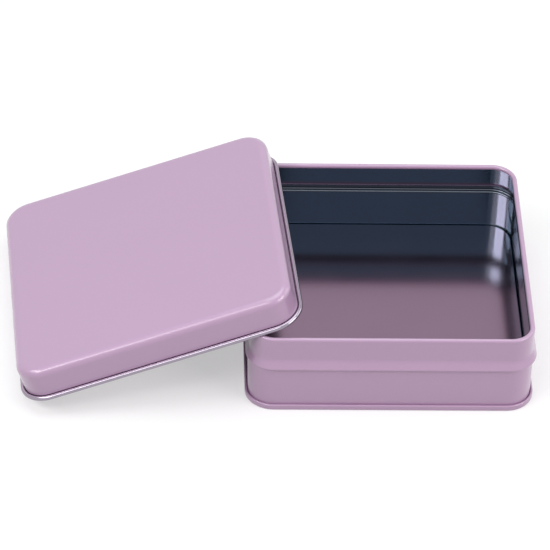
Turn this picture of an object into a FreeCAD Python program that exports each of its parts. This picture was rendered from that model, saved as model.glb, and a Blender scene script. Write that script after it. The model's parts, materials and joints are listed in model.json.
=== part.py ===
"""Square slip-lid tin, open and empty, with its lid leaning on the rim beside it.

The tin has three pieces, all formed from one gauge of tinplate: a wall with a curled rim, a
stop bead and a lapped side seam, a recessed bottom locked to the wall by a double seam, and a
drawn lid with an outward curl. +Z is up and +X points from the lid to the tin. The origin is
on the table, below the middle of the box that holds both. Sizes are in millimetres and angles
in degrees.
"""
import math
import os
import FreeCAD
import Part
import Sketcher

SIZES = (
    # the whole tin
    ("BodyWidth", 130.0, "across the upper band, outside"),
    ("BodyHeight", 41.2, "from the table to the top of the rim"),
    ("CornerRadius", 11.5, "outside corner of the upper band, seen from above"),
    ("Gauge", 0.28, "thickness of the tinplate"),
    # curled rim of the wall
    ("RimCurl", 1.15, "outer radius of the inward curl"),
    ("CurlTurn", 300.0, "how far either curl is rolled"),
    # stop bead in the wall
    ("BeadHeight", 24.7, "from the table to the crest"),
    ("BeadReach", 1.8, "crest beyond the upper band"),
    ("BeadNose", 0.55, "inner radius at the crest"),
    ("BeadSoft", 4.8, "inner radius where the flank leaves the band"),
    ("BeadFlank", 25.0, "lean of the flank above the crest"),
    ("BeadLedge", 20.0, "rise of the ledge below the crest"),
    ("BeadFoot", 0.45, "inner radius where the ledge leaves the lower wall"),
    ("LowerStep", 0.3, "lower wall beyond the upper band"),
    # side seam, where the ends of the wall's strip lap inside the left wall
    ("LapWidth", 5.0, "how far the ends lap"),
    ("LapClear", 0.15, "left between the lap and the panel below it, and the curl above it"),
    # double seam and bottom
    ("SeamHeight", 2.9, "from the table to the top of the seam"),
    ("SeamGap", 0.16, "between the folded layers"),
    ("SeamFit", 0.05, "between the bottom's sheet and the foot of the wall"),
    ("SeamEdge", 0.3, "inner radius of the seam's lower edges"),
    ("HookLength", 1.1, "straight part of each hook"),
    ("FloorHeight", 3.6, "from the table to the top of the bottom panel"),
    ("FloorEdge", 0.6, "inner radius round the panel"),
    # lid
    ("LidHeight", 16.3, "from its top to the bottom of its curl"),
    ("LidPlay", 0.4, "between its skirt and the upper band, when shut"),
    ("LidShoulder", 3.7, "outer radius of its top edge"),
    ("LidCurl", 1.15, "outer radius of its outward curl"),
    # how the lid leans
    ("LeanTurn", 5.2, "turned about the vertical"),
    ("LeanReach", 23.6, "its front right corner, in from the tin's left side"),
    ("LeanBack", 4.7, "its front right corner, back from the tin's front"),
    ("LeanGap", 0.02, "left between the lid and what it rests on"),
)

CORNERS = 4
QUARTER = 360.0 / CORNERS
AXIS_LENGTH = 10.0

# The lid's lean is found by steps from this first guess.
FIRST_CLIMB = 18.0
FIRST_ROLL = -3.0
LONGEST_STEP = 3.0
NUDGE = 1e-3
CLOSE_ENOUGH = 1e-5
MOST_STEPS = 60

UP = FreeCAD.Vector(0, 0, 1)

doc = FreeCAD.newDocument("SquareTin")
sheet = doc.addObject("Spreadsheet::Sheet", "Sizes")
for row, (alias, value, note) in enumerate(SIZES, start=1):
    sheet.set(f"A{row}", alias)
    sheet.set(f"B{row}", str(value))
    sheet.set(f"C{row}", note)
    sheet.setAlias(f"B{row}", alias)
doc.recompute()

# Lengths that several features share, as expressions of the sheet's cells.
CORNER_CENTRE = "(Sizes.BodyWidth / 2 - Sizes.CornerRadius)"
SIDE_LENGTH = f"(2 * {CORNER_CENTRE})"
WALL_OUTSIDE = "(Sizes.BodyWidth / 2 + Sizes.LowerStep)"
WALL_INSIDE = f"({WALL_OUTSIDE} - Sizes.Gauge)"
HOOK_BEND = "(Sizes.Gauge / 2 + Sizes.SeamGap)"
WALL_HOOK = f"({WALL_OUTSIDE} + 2 * Sizes.SeamGap + 2 * Sizes.Gauge)"
WALL_FOOT = f"(2 * Sizes.Gauge + Sizes.SeamFit + {HOOK_BEND})"
SEAM_OUTSIDE = f"({WALL_OUTSIDE} + 3 * (Sizes.SeamGap + Sizes.Gauge))"
CHUCK_OUTSIDE = f"({WALL_INSIDE} - Sizes.SeamFit)"
SKIRT_INSIDE = "(Sizes.BodyWidth / 2 + Sizes.LidPlay)"
LID_LINE = f"({SKIRT_INSIDE} + Sizes.LidCurl)"

# Where a sheet's faces lie, to the left of its middle. The lap's layer grows from that middle.
SHEET_FACES = ("(Sizes.Gauge / 2)", "(-Sizes.Gauge / 2)")
LAP_FACES = ("(1.5 * Sizes.Gauge)", "0")


def measure(expression):
    """The value of an expression of the sheet's cells."""
    return float(sheet.evalExpression(expression))


def direction(angle):
    """The unit vector at an angle from a sketch's X axis."""
    turn = math.radians(angle)
    return FreeCAD.Vector(math.cos(turn), math.sin(turn), 0)


def origin_feature(body, role):
    """One of the body's own origin planes or axes."""
    return next(item for item in body.Origin.OriginFeatures if item.Role == role)


def new_sketch(body, name, role, place):
    """An empty sketch on one of the body's origin planes, moved by place along its normal."""
    sketch = body.newObject("Sketcher::SketchObject", name)
    sketch.AttachmentSupport = [(origin_feature(body, role), "")]
    sketch.MapMode = "FlatFace"
    sketch.setExpression("AttachmentOffset.Base.z", place)
    return sketch


def bind(sketch, kind, items, expression):
    """Add a driving constraint to the sketch and tie it to the sheet."""
    value = measure(expression)
    if kind == "Angle":
        value = math.radians(value)
        expression = f"({expression}) * 1 deg"
    index = sketch.addConstraint(Sketcher.Constraint(kind, *items, value))
    sketch.setExpression(f"Constraints[{index}]", expression)


def draw_face(sketch, start, heading, steps, offset):
    """Draw one face of a formed sheet, offset to the left of its middle, and return its ends.

    A step is ("run", length) or ("bend", inner radius, turn), and a turn to the left is positive.
    """
    point = FreeCAD.Vector(measure(start[0]), measure(start[1]), 0)
    point += direction(heading + QUARTER) * measure(offset)
    ends = []
    for kind, amount, *rest in steps:
        if kind == "run":
            target = point + direction(heading) * measure(amount)
            edge = sketch.addGeometry(Part.LineSegment(point, target))
            bind(sketch, "Distance", (edge,), amount)
            tail, head = 1, 2
        else:
            turn = measure(rest[0])
            leftward = turn > 0
            middle = f"{amount} + Sizes.Gauge / 2"
            radius = f"({middle} - {offset})" if leftward else f"({middle} + {offset})"
            inward = direction(heading + (QUARTER if leftward else -QUARTER))
            centre = point + inward * measure(radius)
            first = math.radians(heading + (-QUARTER if leftward else QUARTER))
            last = first + math.radians(turn)
            circle = Part.Circle(centre, UP, measure(radius))
            arc = Part.ArcOfCircle(circle, min(first, last), max(first, last))
            edge = sketch.addGeometry(arc)
            bind(sketch, "Radius", (edge,), radius)
            bind(sketch, "Angle", (edge,), f"abs({rest[0]})")
            tail, head = (1, 2) if leftward else (2, 1)
            target = centre + direction(math.degrees(last)) * measure(radius)
            heading += turn
        if ends:
            sketch.addConstraint(Sketcher.Constraint("Tangent", *ends[-1], edge, tail))
        else:
            ends.append((edge, tail))
        ends.append((edge, head))
        point = target
    return ends[0], ends[-1]


def draw_sheet(sketch, start, heading, steps, offsets=SHEET_FACES):
    """Draw the closed section of a sheet whose middle starts at start and follows the steps.

    Its faces lie at the two offsets to the left of that middle.
    """
    left_tail, left_head = draw_face(sketch, start, heading, steps, offsets[0])
    right_tail, right_head = draw_face(sketch, start, heading, steps, offsets[1])
    origin = (-1, 1)
    side = direction(heading + QUARTER)
    for (edge, end), offset in ((left_tail, offsets[0]), (right_tail, offsets[1])):
        across = f"{start[0]} + {side.x:.0f} * {offset}"
        up = f"{start[1]} + {side.y:.0f} * {offset}"
        bind(sketch, "DistanceX", (*origin, edge, end), across)
        bind(sketch, "DistanceY", (*origin, edge, end), up)
        squared = "Vertical" if heading % 180 else "Horizontal"
        sketch.addConstraint(Sketcher.Constraint(squared, edge))
    for one, other in ((left_tail, right_tail), (left_head, right_head)):
        points = [sketch.getPoint(*end) for end in (one, other)]
        cap = sketch.addGeometry(Part.LineSegment(*points))
        sketch.addConstraint(Sketcher.Constraint("Coincident", cap, 1, *one))
        sketch.addConstraint(Sketcher.Constraint("Coincident", cap, 2, *other))


def draw_square(sketch, half_width):
    """Draw a square about the sketch's origin."""
    half = measure(half_width)
    corners = [FreeCAD.Vector(x, y, 0) for x, y in ((1, -1), (1, 1), (-1, 1), (-1, -1))]
    sides = []
    for index in range(CORNERS):
        ends = [corners[index] * half, corners[(index + 1) % CORNERS] * half]
        sides.append(sketch.addGeometry(Part.LineSegment(*ends)))
    for index in range(CORNERS):
        squared = ("Vertical", "Horizontal")[index % 2]
        sketch.addConstraint(Sketcher.Constraint(squared, sides[index]))
        following = sides[(index + 1) % CORNERS]
        sketch.addConstraint(Sketcher.Constraint("Coincident", sides[index], 2, following, 1))
    bind(sketch, "DistanceX", (-1, 1, sides[0], 2), half_width)
    bind(sketch, "DistanceY", (-1, 1, sides[0], 2), half_width)
    bind(sketch, "DistanceX", (sides[2], 2, -1, 1), half_width)
    bind(sketch, "DistanceY", (sides[2], 2, -1, 1), half_width)


def sketch_axis(sketch, foot):
    """Add an upright construction line to turn a section about, and return its name."""
    head = foot + FreeCAD.Vector(0, AXIS_LENGTH, 0)
    line = sketch.addGeometry(Part.LineSegment(foot, head), True)
    sketch.addConstraint(Sketcher.Constraint("Vertical", line))
    sketch.addConstraint(Sketcher.Constraint("PointOnObject", line, 1, -1))
    sketch.addConstraint(Sketcher.Constraint("Distance", line, AXIS_LENGTH))
    bind(sketch, "DistanceX", (-1, 1, line, 1), CORNER_CENTRE)
    return "Axis0"


def formed_square(name, start, heading, steps):
    """A body whose sheet section runs round a square with round corners.

    The section is padded along one side and turned round one corner, and both are repeated at
    the other three.
    """
    body = doc.addObject("PartDesign::Body", name)
    section = new_sketch(body, f"{name}_section", "XZ_Plane", f"-{CORNER_CENTRE}")
    draw_sheet(section, start, heading, steps)
    corner = FreeCAD.Vector(measure(CORNER_CENTRE), 0, 0)
    axis = sketch_axis(section, corner)
    doc.recompute()
    side = body.newObject("PartDesign::Pad", f"{name}_side")
    side.Profile = section
    side.setExpression("Length", SIDE_LENGTH)
    turn = body.newObject("PartDesign::Revolution", f"{name}_corner")
    turn.Profile = section
    turn.ReferenceAxis = (section, [axis])
    turn.Angle = QUARTER
    doc.recompute()
    ring = body.newObject("PartDesign::PolarPattern", f"{name}_ring")
    ring.Originals = [side, turn]
    ring.Axis = (origin_feature(body, "Z_Axis"), [""])
    ring.Angle = CORNERS * QUARTER
    ring.Occurrences = CORNERS
    body.Tip = ring
    doc.recompute()
    return body


def add_panel(body, top):
    """Close a formed square with a flat panel between its corner centres, its upper face at top."""
    outline = new_sketch(body, f"{body.Name}_outline", "XY_Plane", f"{top} - Sizes.Gauge")
    draw_square(outline, CORNER_CENTRE)
    panel = body.newObject("PartDesign::Pad", f"{body.Name}_panel")
    panel.Profile = outline
    panel.setExpression("Length", "Sizes.Gauge")
    body.Tip = panel
    doc.recompute()


def add_lap(body, heading, low, steps):
    """Lap the wall's ends inside the left wall: one more layer from low, along the steps.

    The layer starts at the middle of the wall's sheet, so that it grows out of it.
    """
    section = new_sketch(body, f"{body.Name}_lap_section", "XZ_Plane", "Sizes.LapWidth / 2")
    about_height = FreeCAD.Rotation(FreeCAD.Vector(0, 1, 0), 2 * QUARTER)
    section.AttachmentOffset = FreeCAD.Placement(section.AttachmentOffset.Base, about_height)
    start = (f"{WALL_OUTSIDE} - Sizes.Gauge / 2", low)
    draw_sheet(section, start, heading, steps, LAP_FACES)
    lap = body.newObject("PartDesign::Pad", f"{body.Name}_lap")
    lap.Profile = section
    lap.setExpression("Length", "Sizes.LapWidth")
    body.Tip = lap
    doc.recompute()


def make_wall():
    """The wall, from the hook at its foot up over the bead to the curl of the rim."""
    foot = "(Sizes.BeadFoot + Sizes.Gauge / 2)"
    nose = "(Sizes.BeadNose + Sizes.Gauge / 2)"
    soft = "(Sizes.BeadSoft + Sizes.Gauge / 2)"
    ledge_reach = "(Sizes.BeadReach - Sizes.LowerStep)"
    ledge = f"({ledge_reach} - ({foot} + {nose}) * (1 - sin(Sizes.BeadLedge))) / cos(Sizes.BeadLedge)"
    flank = f"(Sizes.BeadReach - ({nose} + {soft}) * (1 - cos(Sizes.BeadFlank))) / sin(Sizes.BeadFlank)"
    below = f"({foot} + {nose}) * cos(Sizes.BeadLedge) + {ledge} * sin(Sizes.BeadLedge)"
    above = f"({nose} + {soft}) * sin(Sizes.BeadFlank) + {flank} * cos(Sizes.BeadFlank)"
    bead = (
        ("bend", "Sizes.BeadFoot", "Sizes.BeadLedge - 90"),
        ("run", ledge),
        ("bend", "Sizes.BeadNose", "90 + Sizes.BeadFlank - Sizes.BeadLedge"),
        ("run", flank),
        ("bend", "Sizes.BeadSoft", "-Sizes.BeadFlank"),
    )
    bead_low = f"Sizes.BeadHeight - ({below})"
    bead_high = f"Sizes.BeadHeight + ({above})"
    start = (f"{WALL_HOOK} - Sizes.Gauge / 2", f"{WALL_FOOT} + Sizes.HookLength")
    body = formed_square("tin_wall", start, -90, (
        ("run", "Sizes.HookLength"),
        ("bend", HOOK_BEND, "-180"),
        ("run", f"{bead_low} - {WALL_FOOT}"),
        *bead,
        ("run", f"Sizes.BodyHeight - Sizes.RimCurl - ({bead_high})"),
        ("bend", "Sizes.RimCurl - Sizes.Gauge", "Sizes.CurlTurn"),
    ))
    lap_low = "(Sizes.FloorHeight + Sizes.LapClear)"
    lap_high = "(Sizes.BodyHeight - 2 * Sizes.RimCurl - Sizes.LapClear)"
    add_lap(body, 90, lap_low, (
        ("run", f"{bead_low} - {lap_low}"),
        *bead,
        ("run", f"{lap_high} - ({bead_high})"),
    ))
    return body


def make_bottom():
    """The bottom: its recessed panel, and the fold that grips the foot of the wall."""
    hook_top = f"(Sizes.SeamHeight - {HOOK_BEND} - Sizes.Gauge)"
    start = (CORNER_CENTRE, "Sizes.FloorHeight - Sizes.Gauge / 2")
    low_edge = "(Sizes.SeamEdge + Sizes.Gauge)"
    steps = (
        ("run", f"{CHUCK_OUTSIDE} - Sizes.FloorEdge - Sizes.Gauge - {CORNER_CENTRE}"),
        ("bend", "Sizes.FloorEdge", "-90"),
        ("run", f"Sizes.FloorHeight - Sizes.FloorEdge - Sizes.Gauge - {low_edge}"),
        ("bend", "Sizes.SeamEdge", "90"),
        ("run", f"{SEAM_OUTSIDE} - {CHUCK_OUTSIDE} + Sizes.Gauge - 2 * {low_edge}"),
        ("bend", "Sizes.SeamEdge", "90"),
        ("run", f"{hook_top} - {low_edge}"),
        ("bend", HOOK_BEND, "180"),
        ("run", "Sizes.HookLength"),
    )
    body = formed_square("tin_bottom", start, 0, steps)
    add_panel(body, "Sizes.FloorHeight")
    return body


def make_lid():
    """The lid, flat on the table: its panel, shoulder, skirt and outward curl."""
    start = (CORNER_CENTRE, "Sizes.LidHeight - Sizes.Gauge / 2")
    steps = (
        ("run", f"{SKIRT_INSIDE} + Sizes.Gauge - Sizes.LidShoulder - {CORNER_CENTRE}"),
        ("bend", "Sizes.LidShoulder - Sizes.Gauge", "-90"),
        ("run", "Sizes.LidHeight - Sizes.LidShoulder - Sizes.LidCurl"),
        ("bend", "Sizes.LidCurl - Sizes.Gauge", "Sizes.CurlTurn"),
    )
    body = formed_square("lid", start, 0, steps)
    add_panel(body, "Sizes.LidHeight")
    return body


def round_square(half, centre, height):
    """The edges of a level square with round corners, from its right side counter-clockwise."""
    edges = []
    for quarter in range(CORNERS):
        turn = FreeCAD.Rotation(UP, QUARTER * quarter)
        ends = [turn.multVec(FreeCAD.Vector(half, y, height)) for y in (-centre, centre)]
        edges.append(Part.LineSegment(*ends).toShape())
        middle = turn.multVec(FreeCAD.Vector(centre, centre, height))
        circle = Part.Circle(middle, UP, half - centre)
        first = math.radians(QUARTER * quarter)
        last = math.radians(QUARTER * (quarter + 1))
        edges.append(Part.ArcOfCircle(circle, first, last).toShape())
    return edges


def leaning(lift, climb, roll):
    """The lid's placement with its front right corner at the lean's spot and this high."""
    half = measure(LID_LINE)
    spot = FreeCAD.Vector(
        measure("Sizes.LeanReach - Sizes.BodyWidth / 2"),
        measure("Sizes.LeanBack - Sizes.BodyWidth / 2"),
        lift)
    turn = FreeCAD.Rotation(UP, measure("Sizes.LeanTurn"))
    turn *= FreeCAD.Rotation(FreeCAD.Vector(0, 1, 0), -climb)
    turn *= FreeCAD.Rotation(FreeCAD.Vector(1, 0, 0), roll)
    corner = FreeCAD.Vector(half, -half, measure("Sizes.LidCurl"))
    return FreeCAD.Placement(spot - turn.multVec(corner), turn)


def contact_misses(placement):
    """How far the lid is from each of its three contacts, from the middle lines of the curls.

    They are the back left corner on the table, and the rim under the lid's front and its back.
    """
    centre = measure(CORNER_CENTRE)
    half = measure(LID_LINE)
    curl = measure("Sizes.LidCurl")
    rim_half = measure("Sizes.BodyWidth / 2 - Sizes.RimCurl")
    rim = Part.Wire(round_square(rim_half, centre, measure("Sizes.BodyHeight - Sizes.RimCurl")))
    upright = placement.Rotation.multVec(UP)
    slope = math.hypot(upright.x, upright.y)
    corner = placement.multVec(FreeCAD.Vector(-centre, centre, curl))
    misses = [corner.z - (half - centre) * slope - curl - measure("Sizes.LeanGap")]
    line = round_square(half, centre, curl)
    front_edges = line[-2:]
    back_edges = line[:3]
    for crossing in (front_edges, back_edges):
        wire = Part.Wire(Part.sortEdges(crossing)[0])
        wire.Placement = placement
        apart = wire.distToShape(rim)[0]
        misses.append(apart - measure("Sizes.RimCurl + Sizes.LidCurl + Sizes.LeanGap"))
    return misses


def rest_lid():
    """Lower, climb and roll the lid until it just meets its three contacts."""
    state = [measure("Sizes.BodyHeight + Sizes.LidHeight"), FIRST_CLIMB, FIRST_ROLL]
    for _ in range(MOST_STEPS):
        misses = FreeCAD.Vector(*contact_misses(leaning(*state)))
        if misses.Length < CLOSE_ENOUGH:
            return leaning(*state)
        slopes = []
        for index in range(3):
            moved = list(state)
            moved[index] += NUDGE
            slopes.append((FreeCAD.Vector(*contact_misses(leaning(*moved))) - misses) / NUDGE)
        lift, climb, roll = slopes
        whole = lift.dot(climb.cross(roll))
        steps = (
            misses.dot(climb.cross(roll)) / whole,
            lift.dot(misses.cross(roll)) / whole,
            lift.dot(climb.cross(misses)) / whole)
        steps = [max(-LONGEST_STEP, min(LONGEST_STEP, step)) for step in steps]
        state = [value - step for value, step in zip(state, steps)]
    raise RuntimeError("the lid finds no rest on the rim and the table")


def centre_together(pieces):
    """Move the pieces as one, so that the origin is below the middle of their common box."""
    box = Part.makeCompound([piece.Shape for piece in pieces]).optimalBoundingBox(False)
    shift = FreeCAD.Placement(FreeCAD.Vector(-box.Center.x, -box.Center.y, 0), FreeCAD.Rotation())
    for piece in pieces:
        piece.Placement = shift * piece.Placement
    doc.recompute()


wall = make_wall()
bottom = make_bottom()
lid = make_lid()
lid.Placement = rest_lid()
doc.recompute()
centre_together((wall, bottom, lid))

for item in doc.Objects:
    if "Invalid" in item.State or "Error" in item.State:
        raise RuntimeError(f"{item.Name} did not build")

os.makedirs("parts", exist_ok=True)
for piece in (wall, bottom, lid):
    solid = piece.Shape
    if solid.isNull() or not solid.isValid() or len(solid.Solids) != 1:
        raise RuntimeError(f"{piece.Label} is not one sound solid")
    solid.exportStep(f"parts/{piece.Label}.step")
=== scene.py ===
"""Square slip-lid tin, open and empty, with its lid leaning on the rim beside it.

The sheet-metal forms come from the CAD frame. This script gives them their finishes: lilac
lacquer outside, bare tinplate inside and on the lid's curl. The tinplate's colours carry painted
reflections, with painted highlights at the wall's bends. It then sets the ground, the light and
the camera. Lengths are in metres and angles in degrees, apart from the camera's lens.
"""
import json
import math

import bpy
from mathutils import Matrix, Vector

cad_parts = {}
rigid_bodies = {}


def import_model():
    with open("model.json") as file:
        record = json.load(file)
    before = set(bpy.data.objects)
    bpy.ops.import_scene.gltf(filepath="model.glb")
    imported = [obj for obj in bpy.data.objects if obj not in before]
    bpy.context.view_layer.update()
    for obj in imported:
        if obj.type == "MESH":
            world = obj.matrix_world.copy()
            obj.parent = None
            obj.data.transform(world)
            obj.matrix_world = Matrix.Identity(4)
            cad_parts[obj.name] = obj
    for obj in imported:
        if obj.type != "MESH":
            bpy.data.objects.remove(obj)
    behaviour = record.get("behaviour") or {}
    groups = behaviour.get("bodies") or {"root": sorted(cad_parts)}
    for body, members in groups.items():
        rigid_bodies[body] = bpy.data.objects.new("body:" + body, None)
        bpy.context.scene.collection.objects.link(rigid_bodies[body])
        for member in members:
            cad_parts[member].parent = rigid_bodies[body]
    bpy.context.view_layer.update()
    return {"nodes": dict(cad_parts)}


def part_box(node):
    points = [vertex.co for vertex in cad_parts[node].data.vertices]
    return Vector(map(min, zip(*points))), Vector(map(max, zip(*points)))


for item in list(bpy.data.objects):
    bpy.data.objects.remove(item)

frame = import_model()
nodes = frame["nodes"]


def lid_stance():
    """The middle of the leaning lid's foot, and which way is up on the lid."""
    sheet = nodes["lid"].data
    # The broadest facet lies in the top panel, on its outside or its inside.
    up = max(sheet.polygons, key=lambda facet: facet.area).normal.copy()
    up *= math.copysign(1, up.z)
    low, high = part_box("lid")
    middle = (low + high) / 2
    foot = min(point.co.dot(up) for point in sheet.vertices)
    return middle + up * (foot - middle.dot(up)), up


# Where the tin and the lid stand in the frame.
UP = Vector((0, 0, 1))
wall_low, wall_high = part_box("tin_wall")
TIN_MIDDLE = (wall_low + wall_high) / 2
RIM_TOP = wall_high.z
FLOOR_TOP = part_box("tin_bottom")[1].z
LID_MIDDLE, LID_UP = lid_stance()

# Where the lacquer ends.
RIM_CURL = 0.0023  # how far down it covers the rim's curl
LAP_EDGE = 0.005  # the side seam's bare edges lie within this of the wall's middle line
FLOOR_EDGE = 0.0007  # the bare floor panel lies within this of the bottom's highest point,
LEAST_RISE = 0.01  # and it faces up by more than this
LID_CURL = 0.002245  # how far up the lid's curl is bare

# Lilac lacquer.
LILAC = (0.445, 0.292, 0.440)
DRIFT_CELLS = 28  # to the metre
DRIFT_TONE = 0.012
SATIN = (0.32, 0.38)  # how rough it is, from one end of the drift to the other
GLOSS_WEIGHT = 0.8
GLOSS_ROUGHNESS = 0.16
PEEL_CELLS = 900  # to the metre
PEEL_DEPTH = 0.00003

# Tinplate. Its colours are darkened and tinted as painted reflections, with painted highlights and
# reflections where the wall bends into its corners and bead.
# inner wall: tinplate darkened to blue-grey, its own colour and a painted reflection of dark
# surroundings
WALL_METAL_AND_REFLECTION = (0.088, 0.185, 0.225)
# painted highlight: a lighter colour in the wall's inner corners
BEND_PAINTED_HIGHLIGHT = (0.23, 0.36, 0.35)
# painted reflection along the bead's groove: its highlight and shade blended into one colour
BEAD_PAINTED_REFLECTION = (0.125, 0.14, 0.17)
# floor panel: tinplate tinted mauve, its own colour and a painted reflection of its surroundings
FLOOR_METAL_AND_REFLECTION = (0.254, 0.168, 0.238)
# lid's curl: tinplate darkened, its own colour and a painted reflection of dark surroundings
CURL_METAL_AND_REFLECTION = (0.33, 0.29, 0.35)
WALL_ROUGHNESS = 0.15
FLOOR_ROUGHNESS = 0.17
LID_ROUGHNESS = 0.16
CLOUD_CELLS = 35  # to the metre
CLOUD_TONE = 0.03
CLOUD_POLISH = 0.15  # the share by which the cloud shifts the roughness
LINE_CELLS = 300  # to the metre
LINE_DRAW = (0.05, 4, 4)  # drawn out along the roll, and crowded across it
LINE_DEPTH = 0.000004
BEND_ONSET = 30  # how soon the painted highlight sets in as the wall turns into a corner
BEAD_ONSET = 8  # how soon the painted reflection sets in as the wall tilts into the bead

# Ground, and the fill from all around.
WHITE = (1, 1, 1)
GROUND_SIZE = 12
GROUND_DROP = 0.00005  # how far it lies below the tin, so that the two never share a plane
GROUND_LIT = 0.55  # how much of the light it throws back
GROUND_SEEN = 0.97  # how pale it looks
GROUND_GLOW = 0.45  # how much of that is its own, so that the shadow on it stays soft
FILL_TINT = (1, 0.98, 1)
FILL_STRENGTH = 0.25

# Softboxes.
LIT_POINT = Vector((0, 0, 0.02))
LIGHT_REACH = 1.6
OVERHEAD_REACH = 1.5

# Camera.
CAMERA_TARGET = Vector((0.004358, -0.000259, 0.0250))
CAMERA_REACH = 1.6618
CAMERA_TURN = -2.942
CAMERA_DIP = 39.912
CAMERA_ROLL = 2.293
CAMERA_LENS = 232.05  # millimetres
CAMERA_SENSOR = 36  # millimetres


# ---------------------------------------------------------------- putting nodes together

class Shading:
    """The nodes of one material, or of the world."""

    def __init__(self, owner, output):
        self.owner = owner
        owner.use_nodes = True
        owner.node_tree.nodes.clear()
        self.output = owner.node_tree.nodes.new(output)

    def add(self, kind, result, inputs=(), **settings):
        """Add a node and give one of its results. An input is a value, or another node's result."""
        node = self.owner.node_tree.nodes.new(kind)
        for name, value in settings.items():
            setattr(node, name, value)
        for name, value in dict(inputs).items():
            if isinstance(value, bpy.types.NodeSocket):
                self.owner.node_tree.links.new(value, node.inputs[name])
            else:
                node.inputs[name].default_value = value
        return node.outputs[result]

    def maths(self, operation, *values):
        return self.add("ShaderNodeMath", "Value", enumerate(values), operation=operation)

    def choose(self, share, off, on):
        """One surface where share is 0, and another where it is 1."""
        return self.add("ShaderNodeMixShader", "Shader", {0: share, 1: off, 2: on})

    def seen(self):
        """1 for what is seen straight on, in a reflection or through glass, and 0 otherwise."""
        share = 0
        for ray in ("Is Camera Ray", "Is Glossy Ray", "Is Transmission Ray"):
            share = self.maths("MAXIMUM", share, self.add("ShaderNodeLightPath", ray))
        return share

    def done(self, surface):
        self.owner.node_tree.links.new(surface, self.output.inputs["Surface"])
        return self.owner


class Finish(Shading):
    """The nodes of one material."""

    def __init__(self, name):
        super().__init__(bpy.data.materials.new(name), "ShaderNodeOutputMaterial")
        self.place = self.add("ShaderNodeTexCoord", "Object")
        self.normal = self.add("ShaderNodeNewGeometry", "Normal")

    def vector(self, operation, *values):
        return self.add("ShaderNodeVectorMath", "Vector", enumerate(values), operation=operation)

    def dot(self, one, other):
        return self.add("ShaderNodeVectorMath", "Value", {0: one, 1: other}, operation="DOT_PRODUCT")

    def beyond(self, value, edge):
        """1 where the value is past an edge, and 0 elsewhere."""
        return self.maths("GREATER_THAN", value, edge)

    def setting_in(self, value, onset):
        """A share that grows with the value, onset times as fast, and stops at 1."""
        return self.maths("MINIMUM", self.maths("MULTIPLY", value, onset), 1)

    def along(self, axis):
        """How far the surface faces along an axis, either way, from 0 to 1."""
        return self.maths("ABSOLUTE", self.dot(self.normal, axis))

    def noise(self, cells, detail, draw=(1, 1, 1)):
        """Noise of about this many cells to the metre, drawn out or crowded along each axis."""
        drawn = self.add("ShaderNodeMapping", "Vector", {"Vector": self.place, "Scale": draw})
        inputs = {"Vector": drawn, "Scale": cells, "Detail": detail}
        return self.add("ShaderNodeTexNoise", "Fac", inputs)

    def span(self, value, low, high):
        """Turn a value from 0 to 1 into one from low to high."""
        inputs = {"Value": value, "To Min": low, "To Max": high}
        return self.add("ShaderNodeMapRange", "Result", inputs)

    def blend(self, share, off, on):
        """One colour where share is 0, and another where it is 1."""
        inputs = {"Factor": share, "A": off, "B": on}
        return self.add("ShaderNodeMix", "Result", inputs, data_type="RGBA")

    def tone(self, colour, value, swing):
        """The colour, darker and lighter by a share swing as value goes from 0 to 1."""
        dark = (*(part * (1 - swing) for part in colour), 1)
        light = (*(min(1, part * (1 + swing)) for part in colour), 1)
        return self.blend(value, dark, light)

    def relief(self, height):
        """The surface's normal, with a relief given in metres."""
        return self.add("ShaderNodeBump", "Normal", {"Distance": 1, "Height": height})

    def coated(self, painted, metal, lacquer):
        """One surface that is bare metal where painted is 0, and lacquer where it is 1."""
        return self.add("ShaderNodeBsdfPrincipled", "BSDF", {
            "Base Color": self.blend(painted, metal["colour"], lacquer["colour"]),
            "Metallic": self.maths("SUBTRACT", 1, painted),
            "Roughness": self.span(painted, metal["roughness"], lacquer["roughness"]),
            "Normal": self.relief(self.span(painted, metal["height"], lacquer["height"])),
            "Coat Weight": self.maths("MULTIPLY", painted, GLOSS_WEIGHT),
            "Coat Roughness": GLOSS_ROUGHNESS,
        })


# ---------------------------------------------------------------- lacquer and tinplate

def lilac_lacquer(finish):
    """Satin printed lacquer: faint orange peel, and a slight drift in tone and sheen."""
    drift = finish.noise(DRIFT_CELLS, detail=2)
    peel = finish.noise(PEEL_CELLS, detail=2)
    return {
        "colour": finish.tone(LILAC, drift, DRIFT_TONE),
        "roughness": finish.span(drift, *SATIN),
        "height": finish.maths("MULTIPLY", peel, PEEL_DEPTH),
    }


def rolled_metal(finish, colour, roughness, painted_light=()):
    """Cold-rolled tinplate: fine lines along the roll, and a faint cloud in its polish.

    The last argument holds the shares and colours of painted highlights and painted reflections, laid
    over the tinplate's colour.
    """
    cloud = finish.noise(CLOUD_CELLS, detail=3)
    lines = finish.noise(LINE_CELLS, detail=2, draw=LINE_DRAW)
    shade = finish.tone(colour, cloud, CLOUD_TONE)
    # painted highlights and reflections, blended over the tinplate's colour
    for share, painted_colour in painted_light:
        shade = finish.blend(share, shade, finish.tone(painted_colour, cloud, CLOUD_TONE))
    bright, dull = roughness * (1 - CLOUD_POLISH), roughness * (1 + CLOUD_POLISH)
    return {
        "colour": shade,
        "roughness": finish.span(cloud, bright, dull),
        "height": finish.maths("MULTIPLY", lines, LINE_DEPTH),
    }


# ---------------------------------------------------------------- the three pieces

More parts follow.
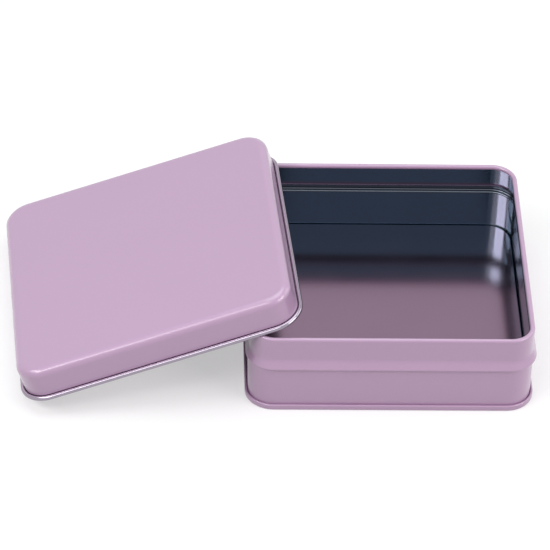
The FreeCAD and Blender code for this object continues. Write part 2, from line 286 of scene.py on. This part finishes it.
def wall_finish():
    """Lacquered outside and over the rim. Bare inside, with painted highlights in its corners and a
    painted reflection along its bead.
    """
    finish = Finish("wall_finish")
    outward = finish.vector("SUBTRACT", finish.place, TIN_MIDDLE)
    level = finish.vector("MULTIPLY", outward, (1, 1, 0))
    outside = finish.beyond(finish.dot(level, finish.normal), LAP_EDGE)
    on_rim = finish.beyond(finish.dot(finish.place, UP), RIM_TOP - RIM_CURL)
    painted = finish.maths("MAXIMUM", on_rim, outside)
    # bend and bead place the painted highlight in the corners and the painted reflection along the bead
    flat = finish.maths("MAXIMUM", finish.along((1, 0, 0)), finish.along((0, 1, 0)))
    bend = finish.setting_in(finish.maths("SUBTRACT", 1, flat), BEND_ONSET)
    bead = finish.setting_in(finish.along(UP), BEAD_ONSET)
    painted_light_marks = ((bend, BEND_PAINTED_HIGHLIGHT), (bead, BEAD_PAINTED_REFLECTION))
    metal = rolled_metal(finish, WALL_METAL_AND_REFLECTION, WALL_ROUGHNESS, painted_light_marks)
    return finish.done(finish.coated(painted, metal, lilac_lacquer(finish)))


def bottom_finish():
    """Bare on the floor panel's upper side, and lacquered everywhere else."""
    finish = Finish("bottom_finish")
    upward = finish.beyond(finish.dot(finish.normal, UP), LEAST_RISE)
    high = finish.beyond(finish.dot(finish.place, UP), FLOOR_TOP - FLOOR_EDGE)
    painted = finish.maths("SUBTRACT", 1, finish.maths("MULTIPLY", high, upward))
    metal = rolled_metal(finish, FLOOR_METAL_AND_REFLECTION, FLOOR_ROUGHNESS)
    return finish.done(finish.coated(painted, metal, lilac_lacquer(finish)))


def lid_finish():
    """Lacquered outside, down to the curl. The curl and the inside are bare."""
    finish = Finish("lid_finish")
    outward = finish.vector("SUBTRACT", finish.place, LID_MIDDLE)
    outside = finish.beyond(finish.dot(outward, finish.normal), 0)
    above_curl = finish.beyond(finish.dot(outward, LID_UP), LID_CURL)
    painted = finish.maths("MULTIPLY", above_curl, outside)
    metal = rolled_metal(finish, CURL_METAL_AND_REFLECTION, LID_ROUGHNESS)
    return finish.done(finish.coated(painted, metal, lilac_lacquer(finish)))


for name, make in (("tin_wall", wall_finish), ("tin_bottom", bottom_finish), ("lid", lid_finish)):
    nodes[name].material_slots[0].material = make()


# ---------------------------------------------------------------- ground, light, camera

def studio_floor():
    """Pale ground. It looks whiter than the light that it throws back would make it."""
    finish = Finish("studio_floor")
    lit, pale = (
        finish.add("ShaderNodeBsdfDiffuse", "BSDF", {"Color": (shade, shade, shade, 1)})
        for shade in (GROUND_LIT, GROUND_SEEN)
    )
    glow = finish.add("ShaderNodeEmission", "Emission", {"Color": (*WHITE, 1), "Strength": 1})
    ground = finish.choose(finish.seen(), lit, finish.choose(GROUND_GLOW, pale, glow))
    bpy.ops.mesh.primitive_plane_add(size=GROUND_SIZE, location=(0, 0, -GROUND_DROP))
    floor = bpy.context.object
    floor.name = "studio_floor"
    floor.data.materials.append(finish.done(ground))


def studio_world():
    """White to the eye and in reflections, and a gentle fill as light."""
    world = Shading(bpy.data.worlds.new("studio"), "ShaderNodeOutputWorld")
    fill, white = (
        world.add("ShaderNodeBackground", "Background", {"Color": (*tint, 1), "Strength": strength})
        for tint, strength in ((FILL_TINT, FILL_STRENGTH), (WHITE, 1))
    )
    bpy.context.scene.world = world.done(world.choose(world.seen(), fill, white))


def softbox(name, azimuth, elevation, size, watts, tint=WHITE, reach=LIGHT_REACH):
    """An area lamp that faces the tin. Azimuth 0 is behind it, and 90 on its left."""
    turn, rise = math.radians(azimuth), math.radians(elevation)
    toward = Vector((-math.sin(turn) * math.cos(rise), math.cos(turn) * math.cos(rise), math.sin(rise)))
    lamp = bpy.data.lights.new(name, "AREA")
    lamp.shape = "RECTANGLE"
    lamp.size, lamp.size_y = size
    lamp.energy = watts
    lamp.color = tint
    item = bpy.data.objects.new(name, lamp)
    item.rotation_euler = toward.to_track_quat("Z", "Y").to_euler()
    item.location = LIT_POINT + toward * reach
    bpy.context.scene.collection.objects.link(item)


def turned(angle, axis):
    """A turn about an axis, as a matrix."""
    return Matrix.Rotation(math.radians(angle), 4, axis)


def studio_camera():
    """Turned about the upright, dipped towards the tin, and rolled about its own view."""
    lens = bpy.data.cameras.new("camera")
    lens.sensor_width = CAMERA_SENSOR
    lens.lens = CAMERA_LENS
    camera = bpy.data.objects.new("camera", lens)
    bpy.context.scene.collection.objects.link(camera)
    bearing = turned(CAMERA_TURN, "Z") @ turned(90 - CAMERA_DIP, "X") @ turned(CAMERA_ROLL, "Z")
    stand_off = Matrix.Translation((0, 0, CAMERA_REACH))
    camera.matrix_world = Matrix.Translation(CAMERA_TARGET) @ bearing @ stand_off
    bpy.context.scene.camera = camera


studio_floor()
studio_world()
softbox("overhead", 10, 82, size=(1.2, 1.2), watts=10.5, tint=(0.9, 1, 0.97), reach=OVERHEAD_REACH)
softbox("front", 152, 50, size=(0.7, 0.4), watts=3.4)
softbox("left", 116, 43, size=(1.1, 0.4), watts=11.5, tint=(1, 0.95, 0.98))
softbox("right", -75, 30, size=(0.9, 0.9), watts=4)
softbox("right_front", -120, 28, size=(0.9, 0.7), watts=10.5, tint=(1, 0.92, 0.96))
studio_camera()
bpy.context.scene.view_settings.view_transform = "Standard"
